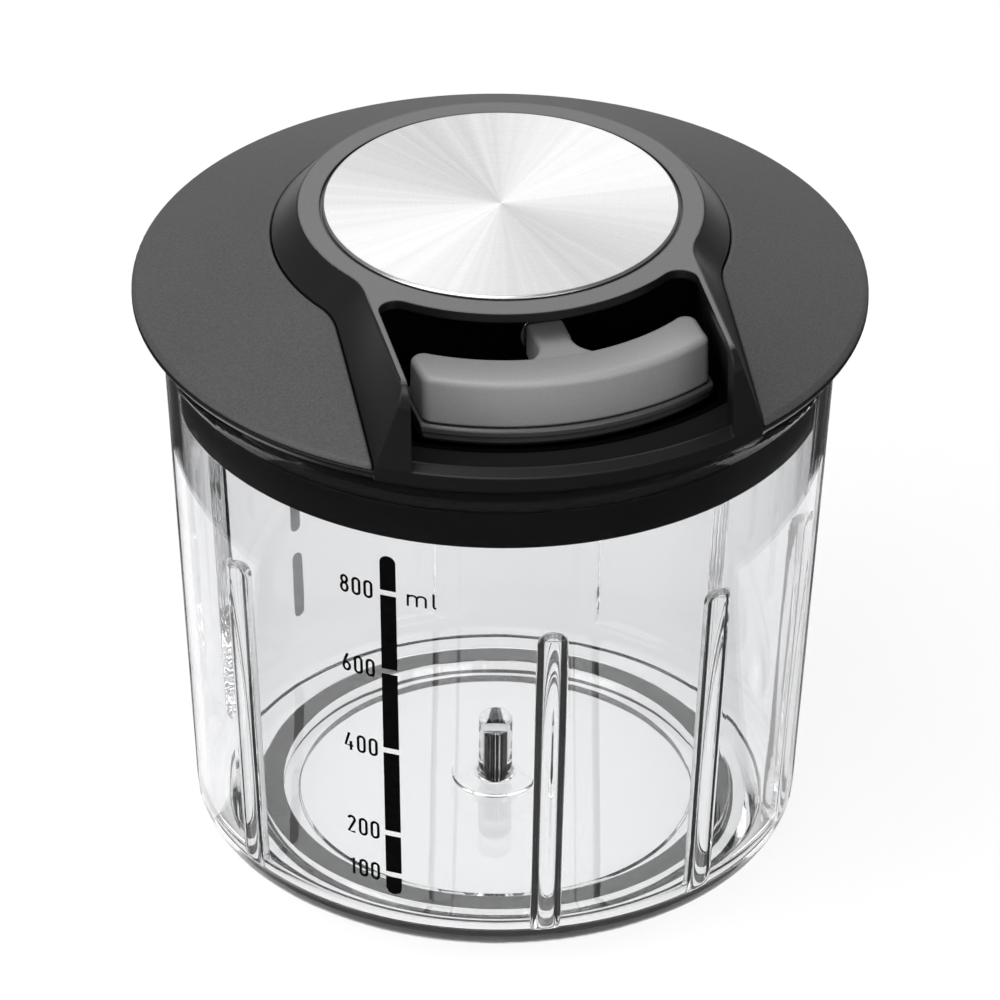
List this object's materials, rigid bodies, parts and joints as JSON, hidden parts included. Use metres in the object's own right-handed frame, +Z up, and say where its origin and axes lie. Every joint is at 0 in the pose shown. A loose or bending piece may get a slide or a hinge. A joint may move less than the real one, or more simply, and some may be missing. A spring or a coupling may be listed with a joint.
{
  "type": "pull-cord food chopper",
  "caption": "Pull-cord food chopper: a clear ribbed measuring bowl under a round dark lid whose sunken handle spins a blade drive by a spring-return cord.",
  "frame": {"origin": "centre of the foot, on the surface the chopper stands on", "axes": "+Z up through the bowl and lid; -Y towards the handle pocket at the front of the lid; +X to the right as seen facing the handle"},
  "size_m": [0.1368, 0.1368, 0.1337],
  "materials": {
    "clear_plastic": "clear, polished",
    "foot_rubber": "matte",
    "seal_rubber": "matte",
    "dark_plastic": "satin, fine grain",
    "cover_plastic": "fine grain",
    "handle_plastic": "fine grain",
    "black_plastic": "satin",
    "brushed_disc": "spun brushed",
    "steel": "bright",
    "spring_steel": "blued",
    "reel_plastic": "natural",
    "bush_plastic": "natural",
    "cord_fabric": "braided"
  },
  "bodies": {
    "bowl": {"bowl": "clear_plastic", "spindle_pin": "steel", "non_slip_ring": "foot_rubber"},
    "lid": {"lid_cap": "dark_plastic", "wing_cover": "cover_plastic", "metal_disc": "brushed_disc", "pocket_tray": "black_plastic", "cord_eyelet": "steel", "inner_housing": "black_plastic", "seal_ring": "seal_rubber", "housing_screws": "steel", "lower_bush": "bush_plastic", "top_bush": "bush_plastic", "cord_run": "cord_fabric"},
    "reel": {"cord_reel": "reel_plastic", "reel_bush": "bush_plastic", "wound_cord": "cord_fabric", "mainspring": "spring_steel", "barrel_cover": "reel_plastic", "pawls": "reel_plastic"},
    "drive": {"drive_shaft": "steel", "ratchet_wheel": "steel", "drive_coupling": "black_plastic"},
    "handle": {"handle_top": "handle_plastic", "handle_bottom": "black_plastic", "handle_screws": "steel", "cord_crimp": "steel", "cord_end": "cord_fabric"}
  },
  "joints": [
    {"name": "lid_lift", "type": "slide", "parent": "bowl", "child": "lid", "axis": [0, 0, 1], "range_m": [0, 0.12]},
    {"name": "handle_pull", "type": "slide", "parent": "lid", "child": "handle", "axis": [-0.0604, -0.8639, 0.5], "range_m": [0, 0.3], "stiffness_N_per_m": 20, "springref_m": -0.15},
    {"name": "reel_spin", "type": "hinge", "parent": "lid", "child": "reel", "pos_m": [0, 0, 0.115], "axis": [0, 0, 1], "range_deg": [-1170, 0]},
    {"name": "drive_spin", "type": "hinge", "parent": "lid", "child": "drive", "pos_m": [0, 0, 0.115], "axis": [0, 0, 1], "range_deg": [-1170, 0]}
  ],
  "couplings": [
    {"joint": "reel_spin", "follows": "handle_pull", "rad_per_m": -67.1},
    {"joint": "drive_spin", "follows": "handle_pull", "rad_per_m": -67.1}
  ]
}
